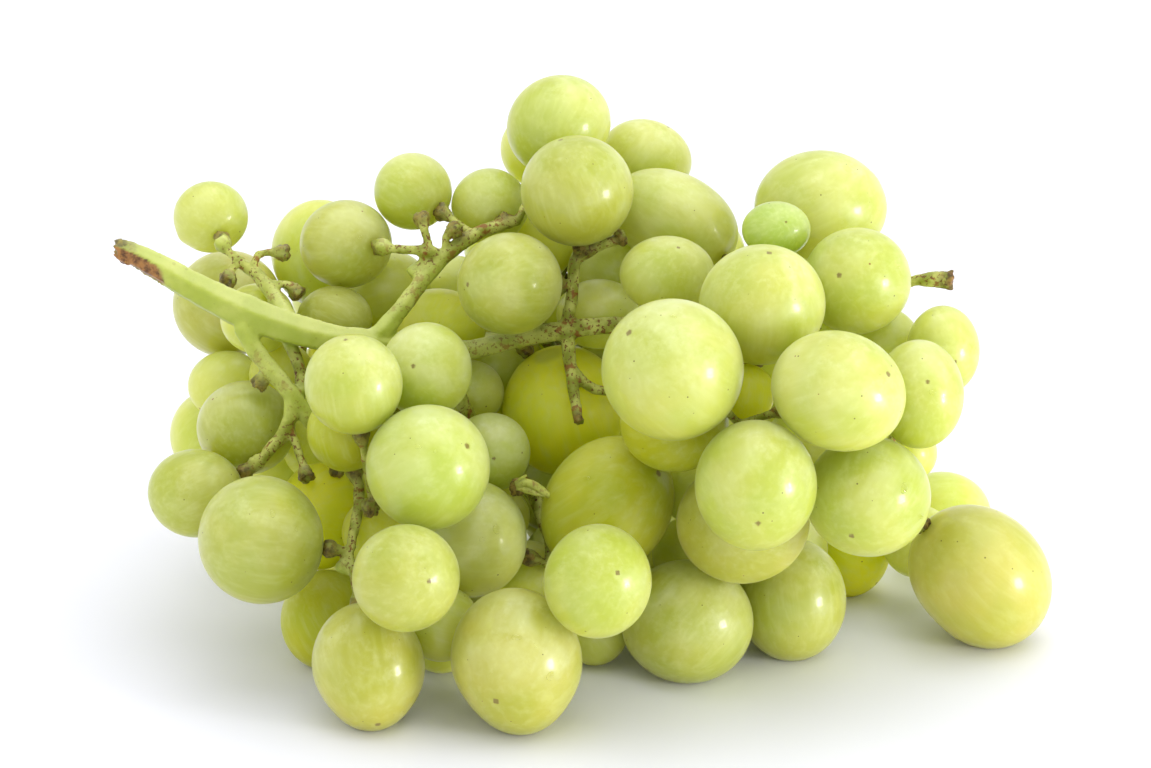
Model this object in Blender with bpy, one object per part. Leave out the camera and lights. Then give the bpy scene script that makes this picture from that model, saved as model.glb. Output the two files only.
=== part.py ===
"""A bunch of green table grapes lying on its side on a flat surface.

The woody-green rachis (peduncle, main axis, laterals, twigs and pedicels) is one grown
piece, so it is one solid. Each berry is an ellipsoid of its own. Berries that sit deep in
the bunch or at its back are joined into clusters, at the spots where they touch.

The layout is written as a person standing before the bunch would sketch it: across (to the
right), up and back, in millimetres from the middle of the bunch, on a sheet that leans back
by SHEET_LEAN. settle() then packs the berries so that none overlaps another, a stem or the
ground. +Z is up, -Y is the front, and the origin is under the middle of the bunch.
"""

import math

import bmesh
import bpy
import numpy as np
from mathutils import Matrix, Vector

# ---------------------------------------------------------------- driving dimensions (mm)
MM = 0.001
SHEET_LEAN = math.radians(20.0)     # how far the sketch sheet leans back
SHEET_HEIGHT = 43.0                 # height of the sheet's middle above the ground
EYE_DISTANCE = 750.0                # the sketch widens with depth as seen from here

BERRY_GAP = 0.40                    # free space between two berries
STEM_GAP = 0.45                     # free space between a stem and a berry
FLAT_DEPTH = 0.50                   # how far a resting berry is pressed flat
GROUND_GAP = 0.40                   # least height of every other berry above the ground
LARGE_BERRY = 11.4                  # a berry with this radius gets more faces

PEDICEL_RADIUS = 0.80
THINNEST_PEDICEL = 0.50             # a pedicel may thin to this between two berries
# the swollen end of a pedicel, where the berry sits: distance from its tip, and radius
KNOB_PROFILE = ((0.0, 1.60), (1.2, 1.80), (3.2, PEDICEL_RADIUS))
KNOB_STANDOFF = 0.60                # between a knob's end and its berry
KNOB_FREE_LENGTH = 1.5              # this close to its tip, a pedicel may touch its own berry
STEM_STEP = 4.5                     # spacing of the rings along a main stem
PEDICEL_STEP = 4.0                  # and along a pedicel
STEM_SIDES = 6
PEDICEL_SIDES = 5

CLUSTER_SIZE = 18                   # most berries in one joined cluster
BRIDGE_RADIUS = 1.2                 # the touching spot between two joined berries
BRIDGE_REACH = 7.2                  # berries further apart than this are not joined
BRIDGE_BITE = 1.0                   # how far a bridge runs into each berry
STEM_MARGIN = 3.0                   # between a bridge and a stem's middle line

# ---------------------------------------------------------------- how the berries are packed
SEED = 7
WANDER = 2.0                        # how far a hidden berry may start out of its row
SMALLEST_HIDDEN = 0.92              # a hidden berry's size, as a share of its row's
LARGEST_HIDDEN = 1.08
LONGEST_HIDDEN = 1.12               # its length, as a share of its width
PACKING_ROUNDS = 600
SIDEWAYS_EASE = 0.10                # how readily a sketched berry leaves its place in the sketch
PUSH_SHARE = 0.9
LONGEST_PUSH = 3.0
HOMING_SHARE = 0.01                 # how far a round draws each berry back to its first place

# ------------------------------------------------------------------- how the pedicels wind
WINDING_ROUNDS = 60
WINDING_STEP = 1.2                  # spacing of the points that move
LONGEST_SIDESTEP = 1.5
SIDESTEP_SHARE = 0.8
STRAIGHTENING = 0.15
ROOM_KEPT = 0.34                    # free space left beside a pedicel that has to thin
LONGEST_DETOUR = 1.5                # a pedicel's length, as a share of the straight way
DETOUR_ALLOWANCE = 2.0
NEIGHBOUR_REACH = 4.0               # berries further off than this don't matter to it
SHORTEST_PEDICEL = 1.8
FRONT_PENALTY = 0.8                 # cost of each millimetre that a start lies before its berry
ANCHOR_STEP = 2.0                   # spacing of the spots where a pedicel can start
ANCHORS_TRIED = 12
BARE_TIP_LENGTH = 10.0              # the last stretch of a stem that bears nothing
BACK_FACE = 14.0                    # a hidden berry with its middle behind this gets a pedicel

# ------------------------------------------------------------------------ berries, by zone
# across, up, back, width, height, turn (degrees clockwise, as seen from the front)
LEFT = (
    (-68.8, 31.5, 0, 13.6, 13.2, 0),
    (-65.9, 13.9, 8, 20.4, 20.0, 0),
    (-61.2, -8.6, -11, 18.1, 17.4, 0),
    (-70.8, -19.9, -18, 17.4, 16.2, 0),
    (-59.3, -29.4, -36, 23.4, 23.8, 0),
    (-48.6, -24.7, -19, 15.8, 20.0, 0),
    (-47.0, -44.5, -17, 17.0, 18.4, 0),
    (-38.8, -52.6, -43, 21.1, 24.2, -12),
    (-32.0, -36.6, -55, 20.0, 20.0, 0),
    (-27.8, -15.8, -44, 23.0, 23.4, 0),
    (-42.0, 0.0, -43, 18.1, 18.5, 0),
    (-28.2, 2.6, -31, 17.0, 17.7, 0),
    (-43.3, -9.1, -30, 14.3, 14.7, 0),
)
MIDDLE = (
    (-11.6, -51.6, -41, 24.2, 27.6, -10),
    (-16.4, -13.9, -24, 14.7, 14.7, 0),
    (-19.5, -29.8, -27, 20.8, 21.9, 0),
    (6.3, -22.4, -26, 23.4, 27.4, 35),
    (3.7, -37.4, -51, 20.0, 21.1, 0),
    (20.4, -44.2, -23, 24.4, 23.0, 0),
    (-3.6, -4.3, 1, 22.6, 24.2, 0),
    (18.4, 2.8, -54, 26.4, 26.4, 0),
    (18.6, -7.7, -34, 20.0, 18.1, 0),
    (31.4, -1.1, -38, 10.2, 10.6, 0),
)
CROWN = (
    (-3.2, 48.7, 0, 19.6, 18.2, -35),
    (0.5, 35.8, -15, 20.8, 20.4, 0),
    (13.2, 42.6, 10, 17.0, 14.0, 15),
    (18.4, 30.6, -2, 25.0, 17.6, 25),
    (17.3, 20.6, -22, 17.7, 14.3, 0),
    (-12.4, 18.9, -22, 19.2, 19.2, 0),
    (-16.3, 33.2, 2, 14.0, 14.0, 0),
    (-30.4, 36.0, -2, 14.3, 14.3, 0),
    (-41.4, 25.4, -1, 17.0, 16.2, 0),
    (-45.8, 12.8, -9, 14.0, 12.1, 0),
)
RIGHT = (
    (40.5, -40.0, -11, 20.0, 23.0, 0),
    (31.6, -26.2, -33, 24.9, 22.6, 0),
    (34.2, -18.9, -56, 22.6, 24.5, 0),
    (35.4, 14.0, -38, 23.4, 22.3, 0),
    (49.3, -1.5, -57, 25.4, 22.0, 20),
    (52.6, 18.2, -26, 20.0, 19.6, 0),
    (37.8, 29.2, -28, 12.5, 10.2, 0),
    (46.1, 33.4, -10, 24.9, 20.8, 0),
    (64.2, -2.1, -36, 16.2, 20.0, 0),
    (66.8, 6.0, -23, 13.4, 16.4, 0),
    (55.6, -20.0, -42, 23.4, 22.6, 0),
    (75.0, -35.7, -5, 28.4, 24.6, 45),
    (52.4, -32.6, 12, 15.8, 17.0, 0),
)
# berries glimpsed between and behind the outer ones
INNER = (
    (-65.0, 0.4, 4, 14.3, 12.8, 0),
    (-68.6, -9.0, 12, 16.2, 17.0, 0),
    (4.8, -47.4, -18, 12.5, 12.8, 0),
    (-7.6, 44.2, 15, 12.5, 13.6, 0),
    (-48.2, 24.5, 15, 18.1, 20.0, 0),
    (-26.3, 9.6, 2, 18.0, 14.3, 0),
    (69.2, -25.0, 18, 18.1, 16.6, 0),
    (-59.2, 11.7, -5, 13.6, 12.8, 0),
    (-52.0, -11.5, -10, 11.0, 12.0, 0),
    (-55.5, -16.0, 4, 14.0, 14.0, 0),
    (-57.5, 3.0, 0, 12.0, 12.0, 0),
    (-37.3, -27.9, -24, 13.0, 13.0, 0),
    (-34.6, 18.0, 8, 16.0, 14.0, 0),
    (-24.0, 16.5, 14, 16.0, 16.0, 0),
    (4.6, 21.5, 7, 16.0, 15.0, 0),
    (-6.0, 26.0, 9, 16.0, 16.0, 0),
    (4.6, 13.8, -2, 15.8, 12.8, 0),
    (7.5, 2.5, 17, 14.0, 14.0, 0),
    (8.4, -8.5, 12, 15.0, 15.0, 0),
    (-18.0, -2.5, -8, 12.0, 12.0, 0),
    (-15.2, 3.5, 5, 14.0, 13.0, 0),
    (-24.6, -43.8, -30, 14.0, 14.0, 0),
    (-25.2, -49.4, -20, 12.0, 12.0, 0),
    (-9.5, -36.0, -18, 14.0, 14.0, 0),
    (-12.9, -24.2, -14, 12.0, 12.0, 0),
    (22.5, -20.0, -14, 15.0, 15.0, 0),
    (21.6, -31.3, -10, 14.0, 14.0, 0),
    (45.8, -14.3, -30, 12.6, 12.6, 0),
    (57.5, 7.4, -17, 14.0, 15.0, 0),
    (46.0, 9.0, -19, 13.0, 13.0, 0),
    (63.0, -29.8, 12, 13.2, 13.2, 0),
    (62.5, -12.8, -22, 11.0, 11.0, 0),
)
# rows of berries in the middle and at the back: height, forward to back, first x, last x,
# how many, diameter, whether they rest on the ground
HIDDEN_ROWS = (
    (10, -8, -40, 38, 5, 19, False),
    (10, 17, -38, 40, 5, 20, True),
    (28, 31, -46, 48, 6, 20, False),
    (26, 8, -42, 44, 5, 18, False),
    (45, 36, -42, 46, 6, 19, False),
    (45, 12, -40, 40, 4, 17, False),
    (59, 24, -14, 40, 4, 18, False),
)
ZONES = {"left": LEFT, "middle": MIDDLE, "crown": CROWN, "right": RIGHT}
# the berries that carry the bunch: zone and place in its list
RESTING = {"left": (6, 7), "middle": (0, 5), "crown": (), "right": (0, 11, 12)}

# ------------------------------------------------------------------------- stems, by route
# across, up, back, radius at each point, from the parent stem outwards
PEDUNCLE = (
    (-86.0, 25.3, -20, 2.5), (-78.4, 21.9, -20, 2.7), (-70.8, 17.7, -20, 3.0),
    (-62.4, 13.6, -20, 3.5), (-53.9, 10.6, -20, 3.2), (-46.3, 8.7, -19, 2.8),
    (-38.4, 7.9, -17, 2.6), (-28.4, 7.0, -13, 2.2), (-19.9, 6.4, -10, 2.0),
    (-10.5, 8.7, -10, 1.9), (-2.0, 10.2, -13, 1.9), (6.5, 11.1, -14, 1.7),
    (16.0, 11.0, -12, 1.6), (27.0, 9.5, -10, 1.5), (39.0, 8.0, -9, 1.4),
    (49.0, 10.0, -10, 1.3), (56.5, 15.0, -12, 1.2), (62.0, 19.0, -14, 1.1),
    (64.3, 19.6, -15, 1.1), (67.0, 19.8, -15, 1.5), (71.0, 19.6, -15, 2.0),
)
LATERALS = {
    "shoulder": (
        (-62.4, 13.6, -20, 2.2), (-62.6, 10.4, -21, 2.0), (-60.5, 6.4, -21, 1.8),
        (-56.7, 1.7, -21, 1.8), (-53.9, -1.5, -21, 1.8), (-50.7, -6.0, -20, 1.7),
        (-47.0, -11.0, -19, 1.4), (-43.0, -15.5, -21, 1.2), (-40.8, -19.0, -26, 1.1),
        (-40.9, -23.2, -30, 1.1), (-41.8, -27.5, -32, 1.0), (-42.6, -31.5, -33, 0.9),
    ),
    "shoulder_drop": (
        (-53.6, -2.5, -21, 1.6), (-53.7, -6.0, -21, 1.4), (-55.6, -10.2, -21, 1.3),
        (-57.8, -12.5, -21, 1.2), (-59.9, -15.2, -20, 1.0), (-62.4, -16.6, -18, 0.9),
    ),
    "shoulder_twig": (
        (-54.4, 8.6, -17, 1.3), (-52.7, 4.9, -17, 1.2), (-51.8, 1.7, -18, 1.2),
        (-51.6, -1.8, -20, 1.2),
    ),
    "left_twig": (
        (-53.4, 10.6, -18, 1.9), (-55.0, 13.6, -16, 1.8), (-57.2, 17.2, -13, 1.6),
        (-60.1, 20.8, -11, 1.3), (-63.1, 22.9, -10, 1.1), (-65.6, 25.1, -9, 0.8),
    ),
    "crown": (
        (-38.8, 7.9, -17, 2.2), (-36.3, 10.0, -17, 2.0), (-33.1, 14.0, -16, 1.7),
        (-28.4, 20.2, -14, 1.6), (-24.6, 24.3, -13, 1.5), (-20.8, 27.2, -12, 1.5),
        (-17.6, 28.9, -11, 1.3), (-12.8, 30.5, -10, 1.1), (-10.8, 30.9, -10, 1.0),
    ),
    "crown_fork": (
        (-25.2, 23.4, -13, 1.4), (-27.5, 25.2, -14, 1.2), (-31.5, 25.3, -14, 0.9),
        (-35.0, 25.6, -13, 0.8),
    ),
    "rising_twig": (
        (-1.6, 10.6, -13, 1.4), (-0.7, 16.8, -13, 1.2), (-0.1, 23.2, -13, 1.1),
        (4.6, 26.2, -13, 1.0), (8.0, 27.4, -13, 0.9),
    ),
    "hanging_twig": (
        (-1.6, 10.0, -13, 1.5), (-1.2, 5.0, -14, 1.3), (-0.7, 0.8, -15, 1.2),
        (-0.1, -3.0, -16, 1.1), (0.6, -7.2, -19, 1.0),
    ),
    "hanging_side": (
        (-0.9, 3.0, -14, 1.2), (1.4, 0.4, -14, 1.1), (3.6, -1.0, -13, 1.0),
        (6.5, -1.4, -12, 0.9), (9.5, -3.6, -12, 0.8),
    ),
    "right_crown": (
        (25.2, 9.7, -10, 1.3), (27.6, 15.0, -8, 1.2), (29.0, 20.0, -7, 1.1),
        (30.2, 23.6, -8, 0.9),
    ),
    "stub_side": (
        (56.5, 15.0, -12, 1.2), (59.2, 12.8, -12, 1.2), (61.2, 11.6, -12, 1.1),
    ),
    "tail_twig": (
        (49.0, 10.0, -10, 1.3), (53.6, 9.0, -11, 1.2), (57.6, 6.6, -12, 1.0),
    ),
    "keel": (
        (-26.0, 6.9, -12, 1.8), (-22.5, -1.0, -14, 1.5), (-18.5, -9.0, -9, 1.4),
        (-12.0, -16.0, -8, 1.3), (-7.6, -21.5, -13, 1.3), (-6.0, -26.0, -16, 1.2),
        (-4.8, -30.0, -19, 1.1), (-4.9, -34.0, -22, 1.0), (-4.2, -38.5, -27, 0.9),
    ),
    "keel_right": (
        (27.0, 9.5, -10, 1.4), (30.5, 2.0, -12, 1.3), (33.0, -7.0, -14, 1.2),
        (37.0, -17.0, -14, 1.2), (38.5, -25.0, -15, 1.0),
    ),
    "tail": (
        (49.0, 10.0, -10, 1.3), (54.0, 2.0, -10, 1.2), (58.0, -8.0, -12, 1.2),
        (61.0, -17.0, -14, 1.1), (63.6, -23.6, -13, 1.0), (64.6, -26.6, -12, 0.9),
    ),
    "back_left": (
        (-28.4, 7.0, -13, 1.9), (-31.0, 1.5, -4, 1.6), (-33.0, -4.0, 8, 1.4),
        (-32.0, -7.0, 21, 1.2),
    ),
    "back_middle": (
        (-10.5, 8.7, -10, 1.9), (-10.0, 8.0, 2, 1.6), (-7.0, 9.5, 16, 1.4),
        (-3.0, 5.0, 28, 1.2),
    ),
    "back_right": (
        (29.0, 9.3, -10, 1.5), (26.0, 9.0, 2, 1.4), (28.0, 6.0, 15, 1.3),
        (31.0, 1.0, 27, 1.1),
    ),
}
# pedicels whose berry is gone or turned away: start on a stem, then the knob's middle
BARE_PEDICELS = (
    ((-61.0, 21.7, -11), (-61.2, 24.1, -10), (-57.2, 24.9, -9), (-54.1, 24.7, -9)),
    ((-63.9, 23.2, -10), (-65.0, 21.3, -11), (-65.8, 19.2, -13)),
    ((-58.5, 19.0, -12), (-56.0, 20.0, -12), (-53.5, 18.1, -12), (-51.8, 16.6, -12)),
    ((-65.6, 25.1, -9), (-67.1, 27.2, -8)),
    ((-35.0, 25.6, -13), (-37.0, 26.0, -12)),
    ((-27.5, 25.2, -14), (-28.6, 29.6, -14), (-29.3, 32.1, -13)),
    ((-24.6, 24.3, -13), (-24.6, 27.6, -14), (-21.9, 29.8, -14)),
    ((-28.2, 25.2, -14), (-29.4, 22.2, -13), (-31.0, 20.4, -13)),
    ((8.0, 27.4, -13), (9.3, 28.0, -13)),
    ((-58.6, 4.0, -21), (-59.0, 1.4, -20), (-59.9, -0.5, -19)),
    ((-53.9, -8.0, -21), (-52.0, -13.5, -21), (-50.6, -18.0, -23)),
    ((-40.9, -22.0, -29), (-39.4, -23.0, -32), (-38.2, -23.8, -34)),
    ((-42.6, -31.5, -33), (-43.8, -35.6, -34)),
    ((-7.6, -21.5, -13), (-9.4, -20.0, -22), (-11.2, -19.4, -29)),
)

GREEN_BERRY = (0.60, 0.68, 0.16, 1.0)
SHADED_BERRY = (0.48, 0.56, 0.13, 1.0)
GREEN_STEM = (0.38, 0.46, 0.16, 1.0)
BERRY_ROUGHNESS = 0.35
STEM_ROUGHNESS = 0.60


# ------------------------------------------------------------------------ sketch to space
RIGHTWARD = np.array((1.0, 0.0, 0.0))
UPWARD = np.array((0.0, math.sin(SHEET_LEAN), math.cos(SHEET_LEAN)))
BACKWARD = np.array((0.0, math.cos(SHEET_LEAN), -math.sin(SHEET_LEAN)))
SHEET = np.stack((RIGHTWARD, UPWARD, BACKWARD), axis=1)
SHEET_MIDDLE = np.array((0.0, 0.0, SHEET_HEIGHT))


def place(across, up, back):
    """A point of the sketch, in millimetres in space."""
    widening = 1.0 + back / EYE_DISTANCE
    return SHEET_MIDDLE + SHEET @ np.array((across * widening, up * widening, back))


def smooth_route(spots, radii, step=STEM_STEP):
    """A smooth curve through the points, with rings about one step apart."""
    padded = np.vstack((2 * spots[0] - spots[1], spots, 2 * spots[-1] - spots[-2]))
    curve = []
    widths = []
    for index in range(1, len(padded) - 2):
        before, start, end, after = padded[index - 1:index + 3]
        pieces = max(1, round(np.linalg.norm(end - start) / step))
        for part in range(pieces):
            t = part / pieces
            curve.append(0.5 * (2 * start + (end - before) * t
                                + (2 * before - 5 * start + 4 * end - after) * t ** 2
                                + (3 * start - before - 3 * end + after) * t ** 3))
            widths.append(radii[index - 1] + (radii[index] - radii[index - 1]) * t)
    curve.append(spots[-1])
    widths.append(radii[-1])
    return np.array(curve), np.array(widths)


def main_stem(points):
    """A stem's sketched points as a smooth curve with its radii."""
    spots = np.array([place(*point[:3]) for point in points])
    radii = np.array([point[3] for point in points])
    return smooth_route(spots, radii)


def pedicel(spots, widest=None):
    """A thin curve that swells into a knob at its end, with its radii.

    widest, where given, holds the radius that there is room for at each spot."""
    run = np.concatenate(((0.0,), np.cumsum(np.linalg.norm(np.diff(spots, axis=0), axis=1))))
    from_tip, knob = np.array(KNOB_PROFILE).T
    shank = np.arange(0.0, max(run[-1] - from_tip[-1] - 1.0, 0.5), PEDICEL_STEP)
    stops = np.sort(np.concatenate((shank, run[-1] - from_tip[from_tip < run[-1]])))
    curve = np.stack([np.interp(stops, run, spots[:, k]) for k in range(3)], axis=1)
    radii = np.interp(run[-1] - stops, from_tip, knob)
    if widest is not None:
        radii = np.minimum(radii, np.interp(stops, run, widest))
    return curve, radii


def bare_pedicel(points):
    spots = np.array([place(*point) for point in points])
    smooth, _ = smooth_route(spots, np.ones(len(spots)), step=1.5)
    return pedicel(smooth)


# -------------------------------------------------------------------------------- berries
class Berry:
    """An ellipsoid: its middle, its three axes as columns, and its three radii."""

    def __init__(self, middle, axes, radii, free=False, rests=False):
        self.middle = middle
        self.axes = axes
        self.radii = radii
        self.free = free
        self.rests = rests

    def reach(self, direction):
        """How far the berry reaches from its middle along a unit direction."""
        return np.linalg.norm((direction @ self.axes) * self.radii)

    def surface(self, direction):
        """The point of the skin met when leaving the middle along a unit direction."""
        return self.middle + direction / np.linalg.norm((direction @ self.axes) / self.radii)


def sketched_berry(row, rests=False):
    """A berry from its row in the sketch: as thick as it is narrow."""
    across, up, back, width, height, turn = row
    swing = math.radians(turn)
    spin = np.array(((math.cos(swing), math.sin(swing), 0.0),
                     (-math.sin(swing), math.cos(swing), 0.0),
                     (0.0, 0.0, 1.0)))
    radii = 0.5 * np.array((width, height, min(width, height))) * (1.0 + back / EYE_DISTANCE)
    return Berry(place(across, up, back), SHEET @ spin, radii, rests=rests)


def hidden_berries():
    """Rows of berries through the middle and the back, each a little out of line."""
    rng = np.random.default_rng(SEED)
    berries = []
    for height, backward, first, last, count, diameter, rests in HIDDEN_ROWS:
        for x in np.linspace(first, last, count):
            middle = np.array((x, backward, height)) + rng.uniform(-WANDER, WANDER, 3)
            radius = 0.5 * diameter * rng.uniform(SMALLEST_HIDDEN, LARGEST_HIDDEN)
            radii = radius * np.array((1.0, rng.uniform(1.0, LONGEST_HIDDEN), 1.0))
            axes, _ = np.linalg.qr(rng.normal(size=(3, 3)))
            berries.append(Berry(middle, axes, radii, free=True, rests=rests))
    return berries


class Packing:
    """Berries being pushed apart: from each other, from the stems and off the ground."""

    def __init__(self, berries, stems):
        self.middles = np.array([berry.middle for berry in berries])
        self.home = self.middles.copy()
        self.shapes = np.array([berry.axes * berry.radii for berry in berries])
        self.rests = np.array([berry.rests for berry in berries])
        free = np.array([berry.free for berry in berries])
        sketched = SHEET @ np.diag((SIDEWAYS_EASE, SIDEWAYS_EASE, 1.0)) @ SHEET.T
        self.ease = np.where(free[:, None, None], np.eye(3), sketched)
        self.starts = np.vstack([spots[:-1] for spots, _ in stems])
        self.runs = np.vstack([np.diff(spots, axis=0) for spots, _ in stems])
        self.first = np.concatenate([radii[:-1] for _, radii in stems])
        self.last = np.concatenate([radii[1:] for _, radii in stems])
        ground = np.where(self.rests, -FLAT_DEPTH, GROUND_GAP)
        self.lowest = np.linalg.norm(self.shapes[:, 2, :], axis=1) + ground
        self.left, self.right = np.triu_indices(len(berries), 1)

    def reach(self, chosen, way):
        return np.linalg.norm(np.einsum("nij,ni->nj", self.shapes[chosen], way), axis=1)

    def round(self):
        """One round of pushes."""
        self.push = np.zeros_like(self.middles)
        self.touches = np.zeros(len(self.middles))
        self.part_pairs()
        self.clear_stems()
        sink = self.lowest - self.middles[:, 2]
        for k in np.nonzero((sink > 0.0) & ~self.rests)[0]:
            self.move(k, np.array((0.0, 0.0, 1.0)), sink[k])
        self.middles += PUSH_SHARE * self.push / np.maximum(self.touches, 1)[:, None]
        down = self.ease[self.rests][:, :, 2]
        lift = (self.lowest - self.middles[:, 2])[self.rests] / down[:, 2]
        self.middles[self.rests] += down * lift[:, None]

    def move(self, k, way, depth, other=None):
        """Note a push on berry k that clears the given depth, alone or with another's help."""
        give = way @ self.ease[k] @ way
        if other is not None:
            give += way @ self.ease[other] @ way
        self.push[k] += self.ease[k] @ way * min(depth / give, LONGEST_PUSH)
        self.touches[k] += 1

    def part_pairs(self):
        gap = self.middles[self.right] - self.middles[self.left]
        distance = np.linalg.norm(gap, axis=1)
        way = gap / distance[:, None]
        lap = self.reach(self.left, way) + self.reach(self.right, way) + BERRY_GAP - distance
        for pair in np.nonzero(lap > 0.0)[0]:
            a, b = self.left[pair], self.right[pair]
            self.move(a, -way[pair], lap[pair], b)
            self.move(b, way[pair], lap[pair], a)

    def clear_stems(self):
        offset = self.middles[:, None] - self.starts[None]
        share = np.einsum("sk,nsk->ns", self.runs, offset)
        share = np.clip(share / np.einsum("sk,sk->s", self.runs, self.runs), 0.0, 1.0)
        away = offset - share[..., None] * self.runs
        distance = np.linalg.norm(away, axis=2)
        way = away / distance[..., None]
        reach = np.linalg.norm(np.einsum("nij,nsi->nsj", self.shapes, way), axis=2)
        thickness = self.first + (self.last - self.first) * share
        lap = reach + thickness + STEM_GAP - distance
        for k, stretch in zip(*np.nonzero(lap > 0.0)):
            self.move(k, way[k, stretch], lap[k, stretch])


def settle(berries, stems):
    """Pack the berries, mostly by moving them forward or back, so that the sketch holds."""
    packing = Packing(berries, stems)
    for number in range(PACKING_ROUNDS):
        packing.round()
        if number < PACKING_ROUNDS // 2:
            packing.middles += HOMING_SHARE * (packing.home - packing.middles)
    for berry, middle in zip(berries, packing.middles):
        berry.middle = middle


# ------------------------------------------------------------------------------ pedicels
def clearance(points, berries):
    """How far each point is outside the nearest berry, and the way out of it."""
    best = np.full(len(points), np.inf)
    out = np.zeros((len(points), 3))
    for berry in berries:
        offset = points - berry.middle
        distance = np.linalg.norm(offset, axis=1) + 1e-9
        unit = offset / distance[:, None]
        free = distance - 1.0 / np.linalg.norm((unit @ berry.axes) / berry.radii, axis=1)
        closer = free < best
        best[closer] = free[closer]
        out[closer] = unit[closer]
    return best, out


def winding_pedicel(start, berry, berries):
    """A pedicel from a stem to a berry's base that winds between the berries, or None."""
    heading = (start - berry.middle) / np.linalg.norm(start - berry.middle)
    end = berry.surface(heading) + heading * KNOB_STANDOFF
    length = np.linalg.norm(end - start)
    if length < SHORTEST_PEDICEL - KNOB_STANDOFF:
        return None
    around = 0.5 * (start + end)
    close = [other for other in berries
             if np.linalg.norm(other.middle - around) < 0.5 * length + other.radii.max() + NEIGHBOUR_REACH]
    points = np.linspace(start, end, max(5, round(length / WINDING_STEP)))
    for _ in range(WINDING_ROUNDS):
        free, out = clearance(points[1:-1], close)
        lack = np.clip(PEDICEL_RADIUS + STEM_GAP - free, 0.0, LONGEST_SIDESTEP)
        lack[-1] = 0.0
        points[1:-1] += out * lack[:, None] * SIDESTEP_SHARE
        points[1:-1] += STRAIGHTENING * (points[:-2] + points[2:] - 2 * points[1:-1])
    middles = 0.5 * (points[1:] + points[:-1])
    stretch = np.linalg.norm(np.diff(points, axis=0), axis=1).sum()
    others = [other for other in close if other is not berry]
    room = np.minimum(clearance(points, others)[0], np.append(clearance(middles, others)[0], np.inf))
    own = clearance(points, [berry])[0]
    from_tip = np.linalg.norm(points - end, axis=1)
    room = np.where(from_tip > KNOB_FREE_LENGTH, np.minimum(room, own), room) - ROOM_KEPT
    if room.min() < THINNEST_PEDICEL or stretch > LONGEST_DETOUR * length + DETOUR_ALLOWANCE:
        return None
    return pedicel(points, room)


def anchor_spots(stems):
    """Spots along the stems where a pedicel can start.

    The dried stub at the far end and the tip of the hanging twig bear nothing."""
    routes = [smooth_route(spots, radii, ANCHOR_STEP)[0] for spots, radii in stems]
    bare_tips = np.array((routes[0][-1], place(*LATERALS["hanging_twig"][-1][:3])))
    spots = np.vstack(routes)
    return spots[np.linalg.norm(spots[:, None] - bare_tips, axis=2).min(axis=1) > BARE_TIP_LENGTH]


def anchors_by_worth(anchors, berry):
    """The anchors near a berry, best first: near it, and behind it rather than in front."""
    offset = anchors - berry.middle
    distance = np.linalg.norm(offset, axis=1)
    unit = offset / distance[:, None]
    free = distance - 1.0 / np.linalg.norm((unit @ berry.axes) / berry.radii, axis=1)
    cost = distance + FRONT_PENALTY * np.maximum(0.0, -offset @ BACKWARD)
    cost[free < SHORTEST_PEDICEL] = np.inf
    order = np.argsort(cost)
    return anchors[order[np.isfinite(cost[order])]]


def reaching_pedicels(berries, obstacles, stems):
    """A pedicel to each berry that the stems, or another pedicel, can reach."""
    anchors = anchor_spots(stems)
    pedicels = []
    near = [np.linalg.norm(anchors - berry.middle, axis=1).min() for berry in berries]
    for k in np.argsort(near):
        for spot in anchors_by_worth(anchors, berries[k])[:ANCHORS_TRIED:2]:
            grown = winding_pedicel(spot, berries[k], obstacles)
            if grown is not None:
                pedicels.append(grown)
                anchors = np.vstack((anchors, grown[0][1:-3]))
                break
    return pedicels


# -------------------------------------------------------------------------------- meshes
def fresh_material(name, colour, roughness):
    material = bpy.data.materials.new(name)
    material.use_nodes = True
    shader = material.node_tree.nodes["Principled BSDF"]
    shader.inputs["Base Color"].default_value = colour
    shader.inputs["Roughness"].default_value = roughness
    shader.inputs["Metallic"].default_value = 0.0
    return material


def square_ball(divisions):
    """A unit ball whose faces are the squares of a cube's sides."""
    ball = bmesh.new()
    bmesh.ops.create_cube(ball, size=2.0)
    bmesh.ops.subdivide_edges(ball, edges=ball.edges[:], cuts=divisions - 1, use_grid_fill=True)
    for vertex in ball.verts:
        vertex.co = Vector([math.tan(0.25 * math.pi * value) for value in vertex.co]).normalized()
    return ball


def plain_ball():
    """A unit ball of eighty triangles."""
    ball = bmesh.new()
    bmesh.ops.create_icosphere(ball, subdivisions=2, radius=1.0)
    return ball


def berry_shape(berry, ball):
    """The ball stretched into the berry, and pressed flat where it rests on the ground."""
    for vertex in ball.verts:
        vertex.co = Vector(berry.surface(np.array(vertex.co.normalized())))
    if berry.rests:
        cut = bmesh.ops.bisect_plane(ball, geom=ball.verts[:] + ball.edges[:] + ball.faces[:],
                                     plane_co=(0, 0, 0), plane_no=(0, 0, -1), clear_outer=True)
        rim = [item for item in cut["geom_cut"] if isinstance(item, bmesh.types.BMEdge)]
        bmesh.ops.contextual_create(ball, geom=rim)
    bmesh.ops.recalc_face_normals(ball, faces=ball.faces[:])
    return ball


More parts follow.
